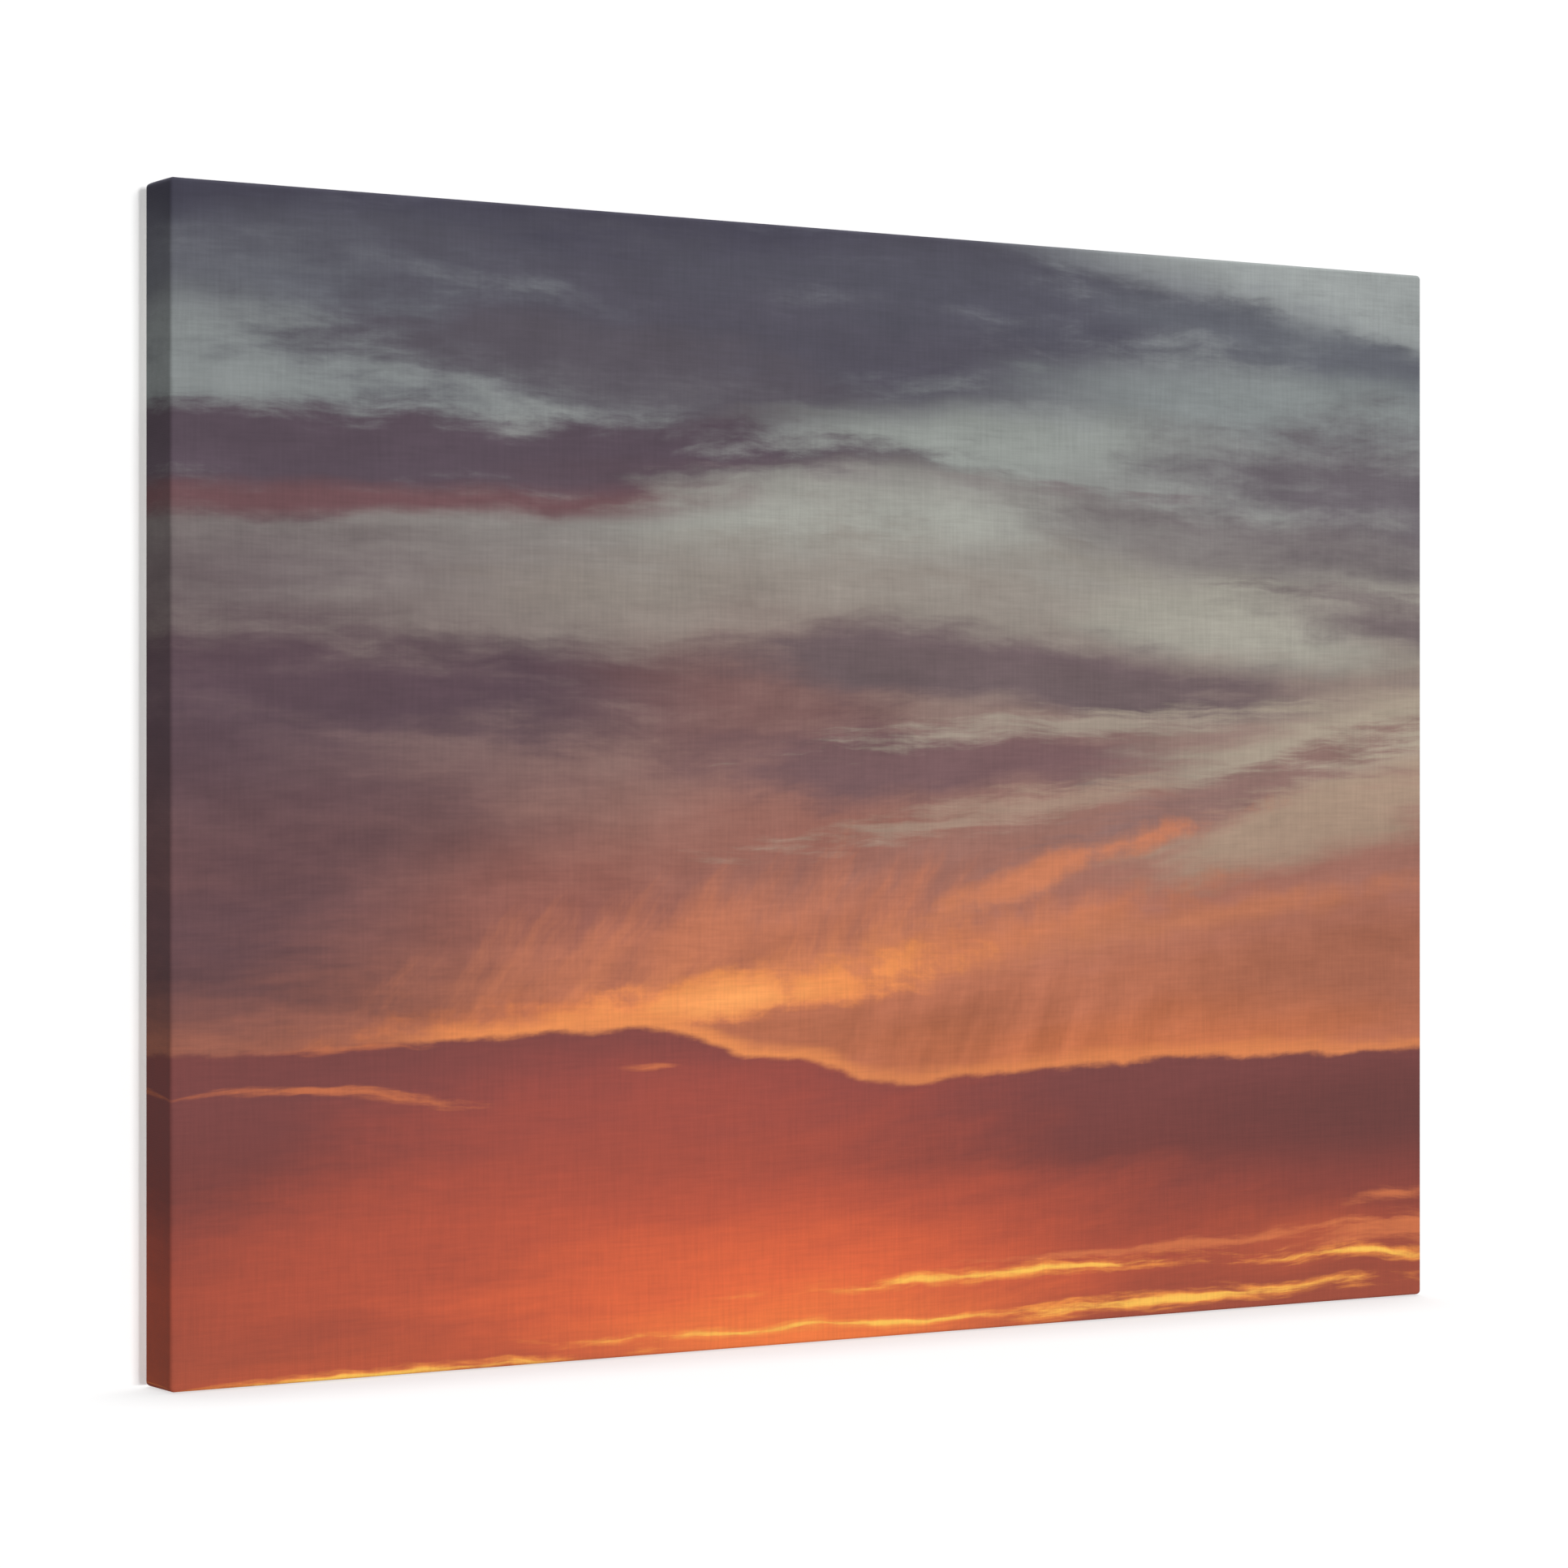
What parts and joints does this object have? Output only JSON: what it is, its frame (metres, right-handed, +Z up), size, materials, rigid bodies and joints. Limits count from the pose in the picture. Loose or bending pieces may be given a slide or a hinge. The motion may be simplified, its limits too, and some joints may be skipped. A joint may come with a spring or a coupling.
{
  "type": "stretched canvas print",
  "caption": "Landscape gallery-wrapped canvas print on keyed pine stretcher bars, with centre brace, strap hangers, picture wire and rear bumpers.",
  "frame": {"origin": "middle of the flat bottom face, on the canvas's middle depth", "axes": "+X across the width, seen from the front left to right; +Y from the printed front to the back; +Z up"},
  "size_m": [0.8128, 0.0396, 0.6096],
  "materials": {
    "canvas": "printed, satin, woven",
    "pine": "planed, unfinished",
    "key_wood": "sawn, unfinished",
    "staple_steel": "galvanised",
    "zinc_plate": "bright zinc plate",
    "wire_steel": "braided",
    "sleeve_aluminium": "crimped",
    "bumper_rubber": "matt"
  },
  "bodies": {
    "frame": {"printed_canvas": "canvas", "bar_top": "pine", "bar_right": "pine", "bar_bottom": "pine", "bar_left": "pine", "centre_brace": "pine", "staples_top": "staple_steel", "staples_right": "staple_steel", "staples_bottom": "staple_steel", "staples_left": "staple_steel", "fold_staples": "staple_steel", "strap_left": "zinc_plate", "strap_right": "zinc_plate", "strap_screws_left": "zinc_plate", "strap_screws_right": "zinc_plate", "bumper_left": "bumper_rubber", "bumper_right": "bumper_rubber"},
    "key_top_left_a": {"key_top_left_a": "key_wood"},
    "key_top_left_b": {"key_top_left_b": "key_wood"},
    "key_top_right_a": {"key_top_right_a": "key_wood"},
    "key_top_right_b": {"key_top_right_b": "key_wood"},
    "key_bottom_left_a": {"key_bottom_left_a": "key_wood"},
    "key_bottom_left_b": {"key_bottom_left_b": "key_wood"},
    "key_bottom_right_a": {"key_bottom_right_a": "key_wood"},
    "key_bottom_right_b": {"key_bottom_right_b": "key_wood"},
    "ring_left": {"ring_left": "zinc_plate"},
    "ring_right": {"ring_right": "zinc_plate"},
    "wire": {"hanging_wire": "wire_steel", "ferrule_left": "sleeve_aluminium", "ferrule_right": "sleeve_aluminium"}
  },
  "joints": [
    {"name": "key_top_left_a_slide", "type": "slide", "parent": "frame", "child": "key_top_left_a", "axis": [1, 0, 0], "range_m": [0, 0.022]},
    {"name": "key_top_left_b_slide", "type": "slide", "parent": "frame", "child": "key_top_left_b", "axis": [0, 0, -1], "range_m": [0, 0.022]},
    {"name": "key_top_right_a_slide", "type": "slide", "parent": "frame", "child": "key_top_right_a", "axis": [0, 0, -1], "range_m": [0, 0.022]},
    {"name": "key_top_right_b_slide", "type": "slide", "parent": "frame", "child": "key_top_right_b", "axis": [-1, 0, 0], "range_m": [0, 0.022]},
    {"name": "key_bottom_left_a_slide", "type": "slide", "parent": "frame", "child": "key_bottom_left_a", "axis": [0, 0, 1], "range_m": [0, 0.022]},
    {"name": "key_bottom_left_b_slide", "type": "slide", "parent": "frame", "child": "key_bottom_left_b", "axis": [1, 0, 0], "range_m": [0, 0.022]},
    {"name": "key_bottom_right_a_slide", "type": "slide", "parent": "frame", "child": "key_bottom_right_a", "axis": [-1, 0, 0], "range_m": [0, 0.022]},
    {"name": "key_bottom_right_b_slide", "type": "slide", "parent": "frame", "child": "key_bottom_right_b", "axis": [0, 0, 1], "range_m": [0, 0.022]},
    {"name": "ring_left_swing", "type": "hinge", "parent": "frame", "child": "ring_left", "pos_m": [-0.3719, 0.01756, 0.42], "axis": [-1, 0, 0], "range_deg": [0, 120]},
    {"name": "ring_right_swing", "type": "hinge", "parent": "frame", "child": "ring_right", "pos_m": [0.3719, 0.01756, 0.42], "axis": [-1, 0, 0], "range_deg": [0, 120]},
    {"name": "wire_swing", "type": "hinge", "parent": "ring_left", "child": "wire", "pos_m": [-0.3719, 0.02026, 0.43272], "axis": [-1, 0, 0], "range_deg": [0, 60]}
  ],
  "couplings": [
    {"joint": "ring_right_swing", "follows": "ring_left_swing", "ratio": 1}
  ]
}
